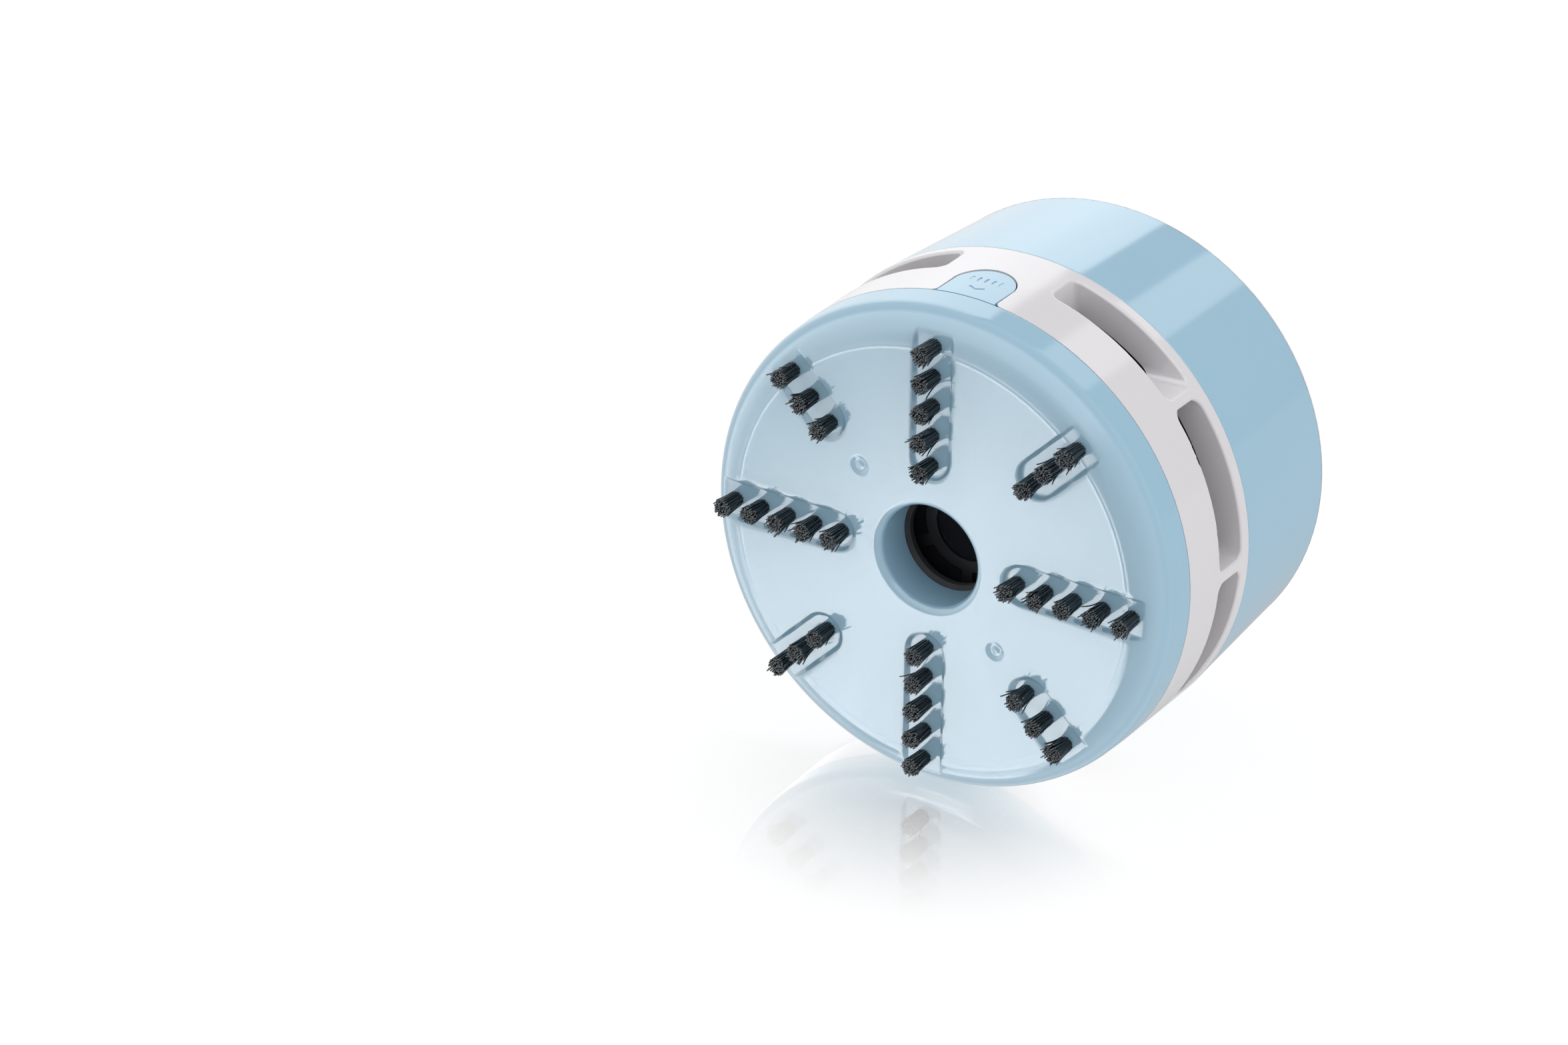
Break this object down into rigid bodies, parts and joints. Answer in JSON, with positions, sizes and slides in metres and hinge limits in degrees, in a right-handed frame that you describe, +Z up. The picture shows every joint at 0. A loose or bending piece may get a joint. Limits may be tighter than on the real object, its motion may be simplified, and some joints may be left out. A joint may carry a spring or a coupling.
{
  "type": "desktop mini vacuum cleaner",
  "caption": "Round battery desk vacuum on radial brush rows, with a suction mouth, vent band, press tab, slide switch and lift-off covers.",
  "frame": {"origin": "on the table under the vacuum's centre, at the level of the bristle tips", "axes": "+Z up from the bristles to the top cap, +Y towards the push tab, +X along the switch's travel"},
  "size_m": [0.085, 0.085, 0.062],
  "materials": {
    "blue_plastic": "light blue moulded plastic, glossy",
    "white_plastic": "white moulded plastic, satin gloss",
    "black_plastic": "black moulded plastic, matt",
    "black_rubber": "soft black rubber",
    "filter_felt": "charcoal non-woven felt",
    "bright_steel": "drawn zinc-plated steel",
    "copper_winding": "laminated core with enamelled copper winding",
    "dark_ferrite": "pressed dark ferrite",
    "screw_steel": "zinc-plated screws",
    "nickel_plate": "nickel-plated spring steel",
    "cell_wrap": "plain printed sleeve on a steel cell",
    "black_wire": "black insulation",
    "red_wire": "red insulation",
    "black_nylon": "near-black nylon bristle"
  },
  "bodies": {
    "housing": {"battery_1": "cell_wrap", "battery_2": "cell_wrap", "battery_tray": "white_plastic", "case_screws": "screw_steel", "contact_bridge": "nickel_plate", "contact_negative": "nickel_plate", "contact_positive": "nickel_plate", "fan_housing": "black_plastic", "filter_disc": "filter_felt", "filter_frame": "black_plastic", "lead_motor": "red_wire", "lead_negative": "black_wire", "lead_positive": "red_wire", "motor_can": "bright_steel", "motor_end_cap": "black_plastic", "motor_magnets": "dark_ferrite", "motor_plate": "black_plastic", "motor_screws": "screw_steel", "spring_bridge": "nickel_plate", "spring_negative": "nickel_plate", "switch_body": "black_plastic", "switch_screws": "screw_steel", "top_cap": "white_plastic", "tray_screws": "screw_steel", "upper_shell": "blue_plastic", "vent_band": "white_plastic"},
    "cover": {"base_cover": "blue_plastic", "inlet_ring": "black_rubber", "filter_gasket": "black_rubber", "brush_row_1": "black_nylon", "brush_row_2": "black_nylon", "brush_row_3": "black_nylon", "brush_row_4": "black_nylon", "brush_row_5": "black_nylon", "brush_row_6": "black_nylon", "brush_row_7": "black_nylon", "brush_row_8": "black_nylon"},
    "tab": {"push_tab": "blue_plastic"},
    "rotor": {"fan": "black_plastic", "motor_shaft": "bright_steel", "motor_rotor": "copper_winding"},
    "door": {"battery_door": "white_plastic"},
    "switch": {"switch_knob": "blue_plastic", "switch_lever": "black_plastic"}
  },
  "joints": [
    {"name": "cover_slide", "type": "slide", "parent": "housing", "child": "cover", "axis": [0, 0, -1], "range_m": [0, 0.03]},
    {"name": "tab_press", "type": "hinge", "parent": "cover", "child": "tab", "pos_m": [0, 0.0404, 0.0136], "axis": [1, 0, 0], "range_deg": [0, 6], "stiffness_Nm_per_rad": 0.05},
    {"name": "fan_spin", "type": "hinge", "parent": "housing", "child": "rotor", "pos_m": [0, 0, 0.025], "axis": [0, 0, 1], "continuous": true},
    {"name": "door_lift", "type": "slide", "parent": "housing", "child": "door", "axis": [0, 0, 1], "range_m": [0, 0.02]},
    {"name": "switch_slide", "type": "slide", "parent": "housing", "child": "switch", "axis": [1, 0, 0], "range_m": [0, 0.0035]}
  ]
}
